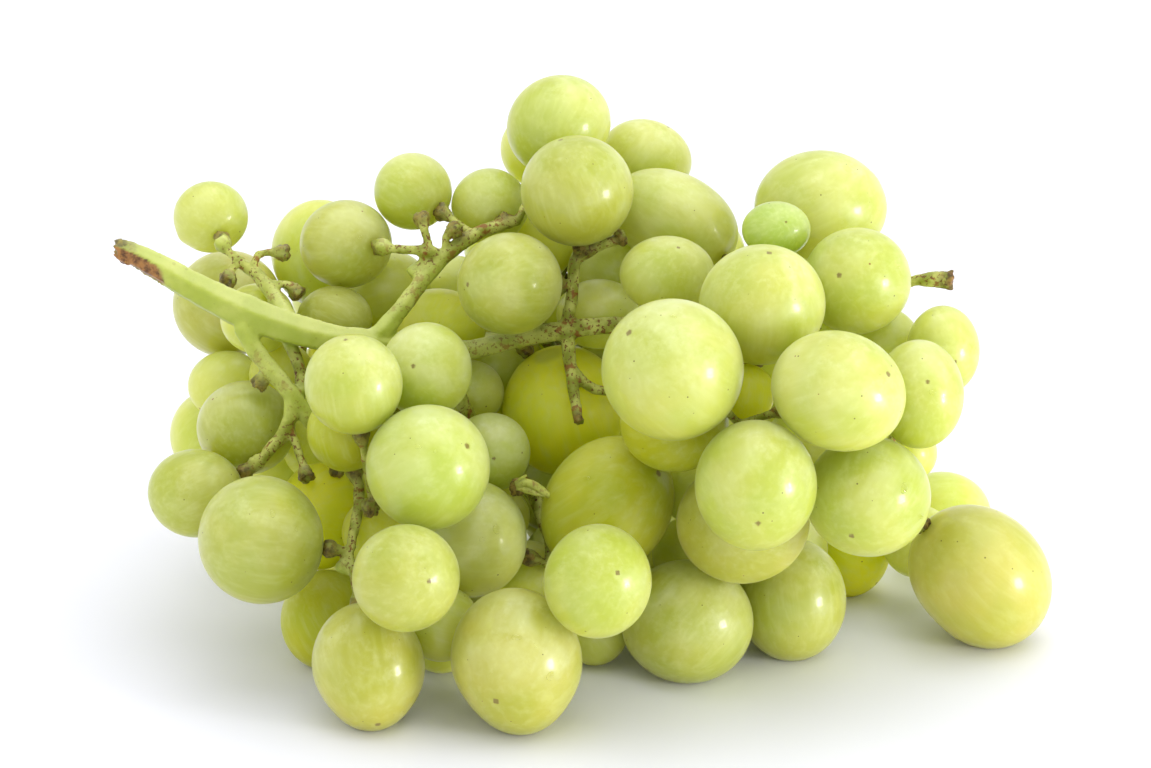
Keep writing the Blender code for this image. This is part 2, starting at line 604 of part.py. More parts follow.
def tube_shape(spots, radii, sides):
    """A closed tube with flat ends along the points, turned as little as possible."""
    shape = bmesh.new()
    rings = []
    side = Vector((0.0, 0.0, 1.0))
    for index, spot in enumerate(spots):
        ahead = spots[min(index + 1, len(spots) - 1)]
        behind = spots[max(index - 1, 0)]
        run = Vector(ahead - behind).normalized()
        side = side - run * side.dot(run)
        if side.length < 0.1:
            side = run.orthogonal()
        side.normalize()
        other = run.cross(side)
        ring = []
        for step in range(sides):
            angle = 2.0 * math.pi * step / sides
            offset = side * math.cos(angle) + other * math.sin(angle)
            ring.append(shape.verts.new(Vector(spot) + offset * radii[index]))
        rings.append(ring)
    for lower, upper in zip(rings, rings[1:]):
        for step in range(sides):
            following = (step + 1) % sides
            shape.faces.new((lower[step], lower[following], upper[following], upper[step]))
    shape.faces.new(tuple(reversed(rings[0])))
    shape.faces.new(tuple(rings[-1]))
    bmesh.ops.recalc_face_normals(shape, faces=shape.faces[:])
    return shape


def mesh_object(name, shape, origin, material):
    """Turn a bmesh in millimetres into an object in metres, placed by its origin."""
    shape.transform(Matrix.Translation(-Vector(origin)))
    shape.transform(Matrix.Scale(MM, 4))
    mesh = bpy.data.meshes.new(name)
    shape.to_mesh(mesh)
    shape.free()
    mesh.materials.append(material)
    mesh.shade_smooth()
    item = bpy.data.objects.new(name, mesh)
    item.location = Vector(origin) * MM
    bpy.context.scene.collection.objects.link(item)
    return item


def union_object(name, shapes, origin, material):
    """One closed solid from several that bite into each other."""
    parts = [mesh_object(f"{name}_{k}", shape, origin, material) for k, shape in enumerate(shapes)]
    group = bpy.data.collections.new(name)
    for part in parts[1:]:
        group.objects.link(part)
    join = parts[0].modifiers.new("Join", "BOOLEAN")
    join.operation = "UNION"
    join.operand_type = "COLLECTION"
    join.collection = group
    join.solver = "EXACT"
    bpy.context.view_layer.update()
    whole = parts[0].evaluated_get(bpy.context.evaluated_depsgraph_get())
    mesh = bpy.data.meshes.new_from_object(whole)
    mesh.name = name
    for part in parts:
        bpy.data.objects.remove(part)
    bpy.data.collections.remove(group)
    mesh.shade_smooth()
    item = bpy.data.objects.new(name, mesh)
    item.location = Vector(origin) * MM
    bpy.context.scene.collection.objects.link(item)
    return item


# ----------------------------------------------------------------------------- the bunch
def bridge_ends(first, second):
    """Where a plug between two berries starts and ends, a little inside each of them."""
    way = (second.middle - first.middle) / np.linalg.norm(second.middle - first.middle)
    return np.array((first.surface(way) - way * BRIDGE_BITE, second.surface(-way) + way * BRIDGE_BITE))


def closest_pair(members, waiting, inner, obstacles, stems):
    """The berry that a cluster can best take in, as (span, member, newcomer)."""
    best = None
    for inside in members:
        for outside in waiting:
            ends = bridge_ends(inner[inside], inner[outside])
            span = np.linalg.norm(ends[1] - ends[0]) - 2.0 * BRIDGE_BITE
            if span > BRIDGE_REACH or (best is not None and span > best[0]):
                continue
            line = np.linspace(ends[0], ends[1], 9)
            others = [berry for berry in obstacles
                      if berry is not inner[inside] and berry is not inner[outside]]
            to_stem = min(np.linalg.norm(spots[:, None] - line, axis=2).min() for spots in stems)
            if min(clearance(line, others)[0].min(), to_stem - STEM_MARGIN) > BRIDGE_RADIUS + BERRY_GAP:
                best = (span, inside, outside)
    return best


def joined_clusters(inner, obstacles, stems):
    """Split the inner berries into clusters of neighbours, each with its joined pairs."""
    waiting = sorted(range(len(inner)), key=lambda k: tuple(inner[k].middle))
    clusters = []
    while waiting:
        members = [waiting.pop(0)]
        pairs = []
        while len(members) < CLUSTER_SIZE:
            best = closest_pair(members, waiting, inner, obstacles, stems)
            if best is None:
                break
            members.append(best[2])
            waiting.remove(best[2])
            pairs.append(best[1:])
        clusters.append((members, pairs))
    return clusters


def centre_on_origin(items):
    """Move everything so that the origin is under the middle of the bunch."""
    bpy.context.view_layer.update()
    corners = np.array([item.matrix_world @ vertex.co for item in items
                        for vertex in item.data.vertices])
    middle = 0.5 * (corners.min(axis=0) + corners.max(axis=0))
    for item in items:
        item.location -= Vector((middle[0], middle[1], corners[:, 2].min()))
    bpy.context.view_layer.update()


def shows_behind(berry):
    """Whether a hidden berry is at the back, where its pedicel can be seen."""
    return berry.middle[1] > BACK_FACE


def build():
    for item in list(bpy.data.objects):
        bpy.data.objects.remove(item)
    outer = {f"{zone}_berry_{k + 1:02d}": sketched_berry(row, k in RESTING[zone])
             for zone, rows in ZONES.items() for k, row in enumerate(rows)}
    inner = [sketched_berry(row) for row in INNER] + hidden_berries()
    berries = list(outer.values()) + inner
    stems = [main_stem(PEDUNCLE)] + [main_stem(points) for points in LATERALS.values()]
    bare = [bare_pedicel(points) for points in BARE_PEDICELS]
    settle(berries, stems + bare)
    held = list(outer.values()) + [berry for berry in inner if shows_behind(berry)]
    pedicels = bare + reaching_pedicels(held, berries, stems)

    skin = fresh_material("berry_skin", GREEN_BERRY, BERRY_ROUGHNESS)
    shaded = fresh_material("shaded_berry_skin", SHADED_BERRY, BERRY_ROUGHNESS)
    wood = fresh_material("rachis_green", GREEN_STEM, STEM_ROUGHNESS)
    items = []
    for name, berry in outer.items():
        ball = square_ball(4 if berry.rests or berry.radii.max() > LARGE_BERRY else 3)
        items.append(mesh_object(name, berry_shape(berry, ball), berry.middle, skin))
    lines = [spots for spots, _ in stems + pedicels]
    for number, (members, pairs) in enumerate(joined_clusters(inner, berries, lines)):
        shapes = [berry_shape(inner[k], plain_ball()) for k in members]
        for a, b in pairs:
            radii = (BRIDGE_RADIUS, BRIDGE_RADIUS)
            shapes.append(tube_shape(bridge_ends(inner[a], inner[b]), radii, PEDICEL_SIDES))
        name = f"inner_cluster_{number + 1:02d}"
        items.append(union_object(name, shapes, inner[members[0]].middle, shaded))
    shapes = [tube_shape(spots, radii, STEM_SIDES) for spots, radii in stems]
    shapes += [tube_shape(spots, radii, PEDICEL_SIDES) for spots, radii in pedicels]
    items.append(union_object("rachis", shapes, stems[0][0][0], wood))
    centre_on_origin(items)


build()
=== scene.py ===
import math

import bmesh
import bpy
import numpy as np
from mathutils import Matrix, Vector, noise
from mathutils.bvhtree import BVHTree


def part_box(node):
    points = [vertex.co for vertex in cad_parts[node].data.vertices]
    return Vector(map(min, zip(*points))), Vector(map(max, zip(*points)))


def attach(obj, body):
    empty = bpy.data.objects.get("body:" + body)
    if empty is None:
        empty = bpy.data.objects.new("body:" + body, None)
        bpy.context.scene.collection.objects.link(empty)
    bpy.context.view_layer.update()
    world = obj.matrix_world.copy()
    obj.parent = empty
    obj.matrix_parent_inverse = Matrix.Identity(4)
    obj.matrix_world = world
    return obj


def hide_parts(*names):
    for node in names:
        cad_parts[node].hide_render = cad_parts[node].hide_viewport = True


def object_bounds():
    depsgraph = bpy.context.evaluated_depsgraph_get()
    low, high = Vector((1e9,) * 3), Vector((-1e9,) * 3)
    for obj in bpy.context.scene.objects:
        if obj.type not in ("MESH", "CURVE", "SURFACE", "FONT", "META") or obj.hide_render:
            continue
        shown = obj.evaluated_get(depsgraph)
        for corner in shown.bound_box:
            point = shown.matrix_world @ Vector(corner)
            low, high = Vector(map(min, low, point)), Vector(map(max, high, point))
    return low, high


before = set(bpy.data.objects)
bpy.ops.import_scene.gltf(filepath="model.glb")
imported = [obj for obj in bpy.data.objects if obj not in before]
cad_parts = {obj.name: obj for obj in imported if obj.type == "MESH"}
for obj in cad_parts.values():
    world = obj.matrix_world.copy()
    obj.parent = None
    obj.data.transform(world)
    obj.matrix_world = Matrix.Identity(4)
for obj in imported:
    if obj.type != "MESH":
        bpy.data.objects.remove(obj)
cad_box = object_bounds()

MM = 0.001
SEED = 11

# the camera: how far it leans down, how far it stands, and its lens on a 36 mm sensor
CAMERA_LEAN = math.radians(20.0)
CAMERA_DISTANCE = 0.750
CAMERA_LENS = 124.3
CAMERA_OFF_MIDDLE = Vector((-0.0019, 0.0110, -0.0059))
SENSOR = 36.0

# reading the CAD: corners this near are one, and a fold this deep (in radians) parts two shapes
SAME_CORNER = 3e-6
GROOVE_ANGLE = 0.25
BALL_CORNERS = 15
BALL_WIDTH = 5 * MM
# fitting an ellipsoid: a good enough miss, a cut above the usual miss, the points it needs
FIT_MISS = 1e-3
FIT_CUT = 4
FIT_POINTS = 20
# a flat end face: how alike its normals are, how round and large it is, how sharp its rim is
FLAT_COSINE = 0.99995
ROUND_SHARE = 0.55
END_AREA = 0.6 * MM ** 2
RIM_ANGLE = 0.7

# berries: how far the skin lies outside the CAD's corners, and the cells along a ball's side
PLUMPNESS = 0.20 * MM
FINE_CELLS = 24
INNER_CELLS = 16
# shares of the radius: lumps, and the swelling toward the nose
LUMP = 0.012
NOSE_SWELLING = 0.012
# dimples and the nose's tip: share of the radius, and how far around it spreads, in radians
STALK_DIMPLE = (0.016, 0.20)
NOSE_TIP = (0.010, 0.10)
NOSE_DIMPLE = (0.008, 0.30)
# CAD berries and skins this low are laid on the floor, just above it
REST_REACH = 0.2 * MM
FLOOR_REACH = 0.15 * MM
FLOOR_GAP = 0.02 * MM
# the stalk's corners this much further off than the nearest still draw a berry's base
STALK_BAND = 0.4 * MM
# inner berries: how near a neighbour is, how many leave one open, how many more close it in
# (closing in paints a brighter, yellower glow), and the share of those from which its skin is the
# deep one, the less glossy copy that paints shade
NEIGHBOUR_REACH = 26 * MM
OPEN_NEIGHBOURS = 8
CLOSING_NEIGHBOURS = 4
DEEP_FROM = 0.2

# the stalk
STEM_VOXEL = 0.42 * MM
# shares of the bunch's length: where the stalk stops being fresh green, and the dried stub starts
FRESH_END = 0.46
STUB_START = 0.885
# how deep the brown of the cut end goes, and how far its scar runs along the lower side, in mm
CUT_DEPTH = 1.1
SCAR_LENGTH = 8.5
# how far the scar is sunk, how far the cut slants, and how deep the stub is split
SCAR_SINK = 0.35 * MM
CUT_REACH = 5 * MM
CUT_SLANT = 0.75
SPLIT_DEPTH = 2.6 * MM
SPLIT_REACH = 3.5 * MM
# half the cut's height, half the split's width, and how far its lobes are bent apart
CUT_HALF = 2.6 * MM
SPLIT_WIDTH = 0.45 * MM
LOBE_SPREAD = 0.25 * MM
# rounds and strength of smoothing: the stalk's shape, and its thickness
SHAPE_SMOOTHING = (16, 0.55)
THICKNESS_SMOOTHING = (24, 0.9)
# how wide warts and ripples are, and how far they stand out, in mm
WART_WIDTH = 0.9 * MM
RIPPLE_WIDTH = 2.6 * MM
RIPPLE_RISE = 0.16
WART_RISE = 0.05
KNOB_WART_RISE = 0.42
# a knob this near a berry holds it, and grows into its skin
KNOB_REACH = 1.6 * MM
KNOB_BITE = 0.30 * MM

# skins scatter light: share, reach of red, green and blue, and depth in metres
SKIN_SCATTER = {"Subsurface_Weight": 0.85, "Subsurface_Radius": (1.0, 1.0, 0.34),
                "Subsurface_Scale": 0.026}
STALK_SCATTER = {"Subsurface_Weight": 0.35, "Subsurface_Radius": (1.0, 1.0, 0.4),
                 "Subsurface_Scale": 0.0020}

# lights: place, the height over the origin that it faces, size in metres, power in watts
KEY_LIGHT = ((0.62, -0.36, 0.11), 0.045, 0.15, 2.5)
TOP_LIGHT = ((0.05, 0.10, 1.20), 0.040, 1.40, 6.4)
ROOM_WHITE = (0.985, 0.99, 1.0, 1.0)
FLOOR_HALF = 4.0

RIGHT = np.array((1.0, 0.0, 0.0))
UP = np.array((0.0, math.sin(CAMERA_LEAN), math.cos(CAMERA_LEAN)))
TOWARD = np.array((0.0, -math.cos(CAMERA_LEAN), math.sin(CAMERA_LEAN)))


# ------------------------------------------------------------------------ reading the frame
def joined_mesh(node):
    """A CAD node as a bmesh with its doubled corners joined."""
    bm = bmesh.new()
    bm.from_mesh(node.data)
    bmesh.ops.remove_doubles(bm, verts=bm.verts, dist=SAME_CORNER)
    bm.normal_update()
    return bm


def is_rim(edge):
    """Whether two faces meet in a groove there, as where a bridge leaves a berry."""
    return len(edge.link_faces) != 2 or edge.calc_face_angle_signed() < -GROOVE_ANGLE


def face_groups(bm, crosses):
    """The mesh's faces in groups: crosses(first, edge, other) says if a group goes on to other."""
    seen = set()
    groups = []
    for first in bm.faces:
        if first in seen:
            continue
        group = [first]
        seen.add(first)
        for face in group:
            for edge in face.edges:
                for other in edge.link_faces:
                    if other not in seen and crosses(first, edge, other):
                        seen.add(other)
                        group.append(other)
        groups.append(group)
    return groups


def ball_points(node):
    """The corners that lie on the skin of each berry in a CAD node."""
    bm = joined_mesh(node)
    balls = []
    for group in face_groups(bm, lambda first, edge, other: not is_rim(edge)):
        corners = dict.fromkeys(v for face in group for v in face.verts)
        corners = [v for v in corners if not any(is_rim(e) for e in v.link_edges)]
        spots = np.array([v.co for v in corners if v.co.z > FLOOR_GAP])
        if len(spots) > BALL_CORNERS and np.ptp(spots, axis=0).min() > BALL_WIDTH:
            balls.append(spots)
    bm.free()
    return balls


def fitted_ellipsoid(spots):
    """The middle, axes (as columns) and radii of the ellipsoid that the points lie on."""
    middle = spots.mean(axis=0)
    size = np.abs(spots - middle).max()
    points = (spots - middle) / size
    for _ in range(3):
        x, y, z = points.T
        terms = np.stack((x * x, y * y, z * z, 2 * x * y, 2 * x * z, 2 * y * z,
                          2 * x, 2 * y, 2 * z), axis=1)
        a, b, c, d, e, f, *rest = np.linalg.lstsq(terms, np.ones(len(points)), rcond=None)[0]
        miss = np.abs(terms @ np.array((a, b, c, d, e, f, *rest)) - 1)
        if miss.max() < FIT_MISS or len(points) < FIT_POINTS:
            break
        points = points[miss < max(FIT_MISS, np.median(miss) * FIT_CUT)]
    form = np.array(((a, d, e), (d, b, f), (e, f, c)))
    centre = -np.linalg.solve(form, np.array(rest))
    values, axes = np.linalg.eigh(form / (1 + centre @ form @ centre))
    return middle + centre * size, axes, size / np.sqrt(values)


class Berry:
    """One berry: its name, its number, the CAD node it stands for, and its ellipsoid."""

    def __init__(self, name, node, spots):
        self.name = name
        self.node = node
        self.middle, self.axes, self.radii = fitted_ellipsoid(spots)
        self.rests = self.middle[2] - self.reach(np.array((0.0, 0.0, 1.0))) < REST_REACH
        self.inner = node.startswith("inner")

    def reach(self, direction):
        """How far the ellipsoid reaches from its middle along a direction."""
        return np.linalg.norm((direction @ self.axes) * self.radii)

    def depth_of(self, spots):
        """How far outside the skin the points are, about, in metres."""
        local = (spots - self.middle) @ self.axes / self.radii
        return (np.linalg.norm(local, axis=1) - 1) * self.radii.mean()


def read_berries():
    """Every berry of the CAD, by node and then by place inside it."""
    berries = []
    for node, item in sorted(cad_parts.items()):
        if node == "rachis":
            continue
        balls = sorted(ball_points(item), key=lambda spots: tuple(spots.mean(axis=0).round(5)))
        for number, spots in enumerate(balls):
            name = node if len(balls) == 1 else f"{node}_{number + 1:02d}"
            berries.append(Berry(f"{name}_skin", node, spots))
    return berries


def stem_points():
    """The corners of the CAD stalk."""
    bm = joined_mesh(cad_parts["rachis"])
    spots = np.array([v.co for v in bm.verts])
    bm.free()
    return spots


# ------------------------------------------------------------------------------ berry shape
def quad_ball(cells):
    """A unit ball of even four-sided cells: its points and faces."""
    bm = bmesh.new()
    bmesh.ops.create_cube(bm, size=2.0)
    bmesh.ops.subdivide_edges(bm, edges=bm.edges[:], cuts=cells - 1, use_grid_fill=True)
    spots = np.array([v.co for v in bm.verts])
    spots = np.tan(spots * (math.pi / 4))
    spots /= np.linalg.norm(spots, axis=1)[:, None]
    bm.verts.index_update()
    faces = [[v.index for v in face.verts] for face in bm.faces]
    bm.free()
    return spots, faces


def lumps(directions, waves, frequency, seed):
    """Smooth, uneven swelling over a ball, about -1 to 1."""
    random = np.random.default_rng(seed)
    total = np.zeros(len(directions))
    for _ in range(waves):
        way = random.normal(size=3)
        way *= frequency / np.linalg.norm(way)
        total += np.sin(directions @ way + random.uniform(0, 2 * math.pi))
    return total / math.sqrt(waves)


# swellings and hollows of single berries: right, up and toward the viewer, height, width
BUMPS = {
    "left_berry_01": ((-0.80, -0.60, 0.10, 0.045, 0.20),),
    "left_berry_05": ((0.92, 0.05, 0.38, 0.045, 0.22),),
    "left_berry_08": ((-0.70, -0.70, 0.0, -0.060, 0.55), (0.70, -0.72, 0.0, -0.050, 0.50)),
    "left_berry_11": ((0.86, 0.32, 0.40, 0.060, 0.22),),
    "middle_berry_01": ((-0.70, -0.70, 0.0, -0.075, 0.60), (0.75, -0.65, 0.0, -0.050, 0.50)),
    "crown_berry_07": ((0.97, -0.20, 0.10, 0.030, 0.16),),
    "right_berry_12": ((-0.70, -0.70, 0.0, -0.045, 0.55),),
}


def hump(away, height, width):
    """A smooth hump: its height where away is nothing, fading over its width."""
    return height * np.exp(-(away / width) ** 2)


def skin_point(berry, directions, seed):
    """The berry's skin for directions in space, plump, uneven and dimpled at its stalk."""
    local = directions @ berry.axes
    reach = 1.0 / np.linalg.norm(local / berry.radii, axis=1)
    grow = 1 + LUMP * lumps(directions, 6, 2.2, seed)
    toward_stalk = directions @ berry.stalk
    from_stalk = np.arccos(np.clip(toward_stalk, -1, 1))
    from_nose = math.pi - from_stalk
    grow += NOSE_SWELLING * (-toward_stalk)
    grow -= hump(from_stalk, *STALK_DIMPLE)
    grow += hump(from_nose, *NOSE_TIP) - hump(from_nose, *NOSE_DIMPLE)
    for right, up, toward, height, width in BUMPS.get(berry.node, ()):
        way = right * RIGHT + up * UP + toward * TOWARD
        way /= np.linalg.norm(way)
        grow += hump(np.arccos(np.clip(directions @ way, -1, 1)), height, width)
    return berry.middle + directions * (reach * grow + PLUMPNESS)[:, None]


def point_to_stalk(berry, stem):
    """Turns the berry's base to where the stalk meets its skin."""
    gap = berry.depth_of(stem)
    near = stem[gap < gap.min() + STALK_BAND]
    way = near.mean(axis=0) - berry.middle
    berry.stalk = way / np.linalg.norm(way)


def mesh_piece(name, spots, faces, material, attributes):
    """A smooth-shaded mesh with values at its points for the material to read."""
    mesh = bpy.data.meshes.new(name)
    mesh.from_pydata([tuple(spot) for spot in spots], [], faces)
    mesh.update()
    mesh.polygons.foreach_set("use_smooth", np.ones(len(mesh.polygons), bool))
    for key, values in attributes.items():
        values = np.asarray(values, np.float32)
        if values.ndim == 1:
            mesh.attributes.new(key, "FLOAT", "POINT").data.foreach_set("value", values)
        else:
            mesh.attributes.new(key, "FLOAT_VECTOR", "POINT").data.foreach_set(
                "vector", values.ravel())
    mesh.materials.append(material)
    item = bpy.data.objects.new(name, mesh)
    bpy.context.scene.collection.objects.link(item)
    return item


def turned_to(way):
    """Three axes as columns, the last along way."""
    side = np.cross(way, (0.31, 0.17, 0.93))
    side /= np.linalg.norm(side)
    return np.stack((side, np.cross(way, side), way), axis=1)


def berry_piece(berry, ball, tint, materials):
    """One berry's skin, with what its material reads: grain, tint, bloom with painted light above,
    and a painted deeper yellow below.
    """
    directions, faces = ball
    spots = skin_point(berry, directions, SEED + berry.number)
    if berry.rests or spots[:, 2].min() < FLOOR_REACH:
        spots[:, 2] = np.maximum(spots[:, 2], FLOOR_GAP)
    own = directions @ turned_to(berry.stalk)
    wander = np.random.default_rng(SEED * 100 + berry.number).uniform(-40, 40, 3)
    # painted light: the bloom mask grows toward the upper and right-hand sides, where the lamps
    # shine, and the lower side gets a painted deeper yellow, as of light shining through
    bloom_and_painted_light = np.clip(0.40 + 0.55 * directions[:, 2] + 0.15 * directions[:, 0], 0, 1)
    attributes = {
        "own": own,
        "grain": own * (berry.radii.mean() / MM) + wander,
        "tint": np.tile(tint.colour, (len(spots), 1)),
        "bloom_and_painted_light": bloom_and_painted_light * tint.bloom_and_painted_light,
        "low": np.clip(0.15 - 0.85 * directions[:, 2], 0, 1),
        "stalkward": own[:, 2],
    }
    item = mesh_piece(berry.name, spots, faces, materials[tint.skin], attributes)
    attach(item, "root")
    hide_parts(berry.node)


# ------------------------------------------------------------------------------ berry tints
class Tint:
    """A berry's colour, its own or partly painted light and shade, how much bloom and painted light
    it carries, and which skin material it has.
    """

    def __init__(self, colour, bloom_and_painted_light, skin="clear"):
        self.colour = colour
        self.bloom_and_painted_light = bloom_and_painted_light
        self.skin = skin


# fresh, golden, lime, mint and ripe are the berries' own colours; bright and muted are partly their
# own tone and partly painted light and shade; olive and dusky are painted shade; backlit is a
# painted glow of light shining through
TINTS = {
    "fresh": Tint((0.435, 0.480, 0.076), 0.75),
    "bright": Tint((0.475, 0.508, 0.098), 0.85),
    "lime": Tint((0.455, 0.520, 0.088), 0.90),
    "golden": Tint((0.440, 0.430, 0.060), 0.75),
    "muted": Tint((0.385, 0.410, 0.056), 0.70),
    "olive": Tint((0.430, 0.450, 0.020), 0.20, "deep"),
    "dusky": Tint((0.320, 0.345, 0.036), 0.30, "deep"),
    "mint": Tint((0.325, 0.450, 0.075), 0.60),
    "backlit": Tint((0.740, 0.760, 0.022), 0.08, "deep"),
    "ripe": Tint((0.490, 0.465, 0.080), 0.35),
}
# inner berries, from the most open to the most closed in: the more closed in, the brighter and
# yellower, a painted glow of light shining through the berries around them
OPEN_INNER = (0.560, 0.610, 0.100)
CLOSED_INNER_PAINTED_GLOW = (0.820, 0.840, 0.026)
BERRY_TINTS = {
    "left_berry_02": "golden", "left_berry_03": "muted", "left_berry_04": "muted",
    "left_berry_05": "muted", "left_berry_06": "backlit", "left_berry_07": "olive",
    "left_berry_08": "golden", "left_berry_09": "muted", "left_berry_10": "lime",
    "left_berry_12": "lime", "left_berry_13": "olive",
    "middle_berry_01": "golden", "middle_berry_02": "lime", "middle_berry_03": "bright",
    "middle_berry_04": "olive", "middle_berry_06": "muted", "middle_berry_07": "backlit",
    "middle_berry_08": "bright", "middle_berry_09": "olive", "middle_berry_10": "backlit",
    "crown_berry_02": "muted", "crown_berry_03": "bright", "crown_berry_04": "bright",
    "crown_berry_06": "muted", "crown_berry_09": "muted", "crown_berry_10": "dusky",
    "right_berry_01": "muted", "right_berry_02": "golden", "right_berry_04": "bright",
    "right_berry_05": "bright", "right_berry_07": "mint", "right_berry_08": "bright",
    "right_berry_12": "ripe", "right_berry_13": "backlit",
}


def tint_of(berry, berries):
    """A named tint; inner berries get a painted glow, brighter and yellower the more neighbours
    close them in.
    """
    if berry.inner:
        gaps = [np.linalg.norm(other.middle - berry.middle) for other in berries]
        near = sum(gap < NEIGHBOUR_REACH for gap in gaps) - 1
        closed = min(max((near - OPEN_NEIGHBOURS) / CLOSING_NEIGHBOURS, 0.0), 1.0)
        colour = [a + (b - a) * closed for a, b in zip(OPEN_INNER, CLOSED_INNER_PAINTED_GLOW)]
        return Tint(colour, 0.55 - 0.50 * closed, "deep" if closed > DEEP_FROM else "clear")
    return TINTS[BERRY_TINTS.get(berry.node, "fresh")]


# -------------------------------------------------------------------------------- materials
class Shader:
    """Short words for building a node material."""

    def __init__(self, name):
        self.material = bpy.data.materials.new(name)
        self.material.use_nodes = True
        self.tree = self.material.node_tree
        self.tree.nodes.clear()
        self.output = self.add("ShaderNodeOutputMaterial")

    def add(self, kind, **settings):
        node = self.tree.nodes.new(kind)
        for key, value in settings.items():
            setattr(node, key, value)
        return node

    def put(self, socket, value):
        if isinstance(value, bpy.types.NodeSocket):
            self.tree.links.new(value, socket)
        else:
            socket.default_value = value

    def read(self, name, vector=False):
        node = self.add("ShaderNodeAttribute", attribute_name=name)
        return node.outputs["Vector" if vector else "Fac"]

    def sum(self, kind, a, b=0.0, c=0.0, clamp=False):
        node = self.add("ShaderNodeMath", operation=kind, use_clamp=clamp)
        for socket, value in zip(node.inputs, (a, b, c)):
            self.put(socket, value)
        return node.outputs[0]

    def ramp(self, value, low, high, to_low=0.0, to_high=1.0):
        node = self.add("ShaderNodeMapRange", interpolation_type="SMOOTHSTEP")
        for socket, item in zip(node.inputs, (value, low, high, to_low, to_high)):
            self.put(socket, item)
        return node.outputs[0]

    def noise(self, where, scale, detail=3.0, rough=0.5, warp=0.0):
        node = self.add("ShaderNodeTexNoise")
        self.put(node.inputs["Vector"], where)
        for key, value in (("Scale", scale), ("Detail", detail), ("Roughness", rough),
                           ("Distortion", warp)):
            self.put(node.inputs[key], value)
        return node.outputs["Fac"]

    def mix(self, factor, a, b, kind="MIX"):
        node = self.add("ShaderNodeMix", data_type="RGBA", blend_type=kind)
        self.put(node.inputs[0], factor)
        for socket, value in ((node.inputs[6], a), (node.inputs[7], b)):
            if not isinstance(value, bpy.types.NodeSocket):
                value = (*value, 1.0)
            self.put(socket, value)
        return node.outputs[2]

    def stretch(self, vector, scale):
        node = self.add("ShaderNodeVectorMath", operation="MULTIPLY")
        self.put(node.inputs[0], vector)
        self.put(node.inputs[1], scale)
        return node.outputs[0]

    def specks(self, where, scale, share, size):
        """Small round spots in some of the cells, 0 to 1."""
        cells = self.add("ShaderNodeTexVoronoi")
        self.put(cells.inputs["Vector"], where)
        self.put(cells.inputs["Scale"], scale)
        chosen = self.add("ShaderNodeSeparateColor")
        self.put(chosen.inputs[0], cells.outputs["Color"])
        spot = self.sum("MULTIPLY_ADD", chosen.outputs[1], size * 0.8, size * 0.5)
        inside = self.ramp(self.sum("SUBTRACT", spot, cells.outputs["Distance"]), 0.0, size * 0.35)
        return self.sum("MULTIPLY", inside, self.sum("LESS_THAN", chosen.outputs[0], share))

    def bump(self, height, strength, distance, under=None):
        node = self.add("ShaderNodeBump")
        self.put(node.inputs["Strength"], strength)
        self.put(node.inputs["Distance"], distance)
        self.put(node.inputs["Height"], height)
        if under is not None:
            self.put(node.inputs["Normal"], under)
        return node.outputs[0]

    def surface(self, **sockets):
        node = self.add("ShaderNodeBsdfPrincipled")
        for key, value in sockets.items():
            self.put(node.inputs[key.replace("_", " ")], value)
        self.put(self.output.inputs[0], node.outputs[0])
        return node


# colours of the skins' marks, then of the stalk
NOSE_BROWN = (0.16, 0.09, 0.02)
COLLAR_OLIVE = (0.34, 0.36, 0.05)
SPECK_DARK = (0.12, 0.09, 0.02)
SPECK_RUSTY = (0.24, 0.10, 0.02)
STREAK_GREEN = (0.74, 0.80, 0.40)
CLOUDS_AND_PAINTED_LIGHT = (0.78, 0.84, 0.52)
BLOOM_AND_PAINTED_LIGHT = (0.84, 0.89, 0.62)
OLD_DARK = (0.250, 0.285, 0.018)
OLD_PALE = (0.520, 0.545, 0.120)
FRESH_DARK = (0.430, 0.510, 0.060)
FRESH_PALE = (0.570, 0.625, 0.130)
PAINTED_SHADE_BELOW = (0.300, 0.380, 0.028)
PAINTED_TOP_LIGHT = (0.76, 0.79, 0.38)
FRECKLE = (0.150, 0.045, 0.008)
SCAR = (0.260, 0.085, 0.014)
DOT = (0.100, 0.022, 0.006)
KNOB_DARK = (0.060, 0.022, 0.006)
KNOB_BROWN = (0.230, 0.150, 0.026)
KNOB_OLIVE = (0.250, 0.270, 0.040)
WOOD_DARK = (0.110, 0.045, 0.014)
WOOD_PALE = (0.400, 0.190, 0.050)
HUSK_PALE = (0.380, 0.160, 0.090)
HUSK_DARK = (0.050, 0.016, 0.010)


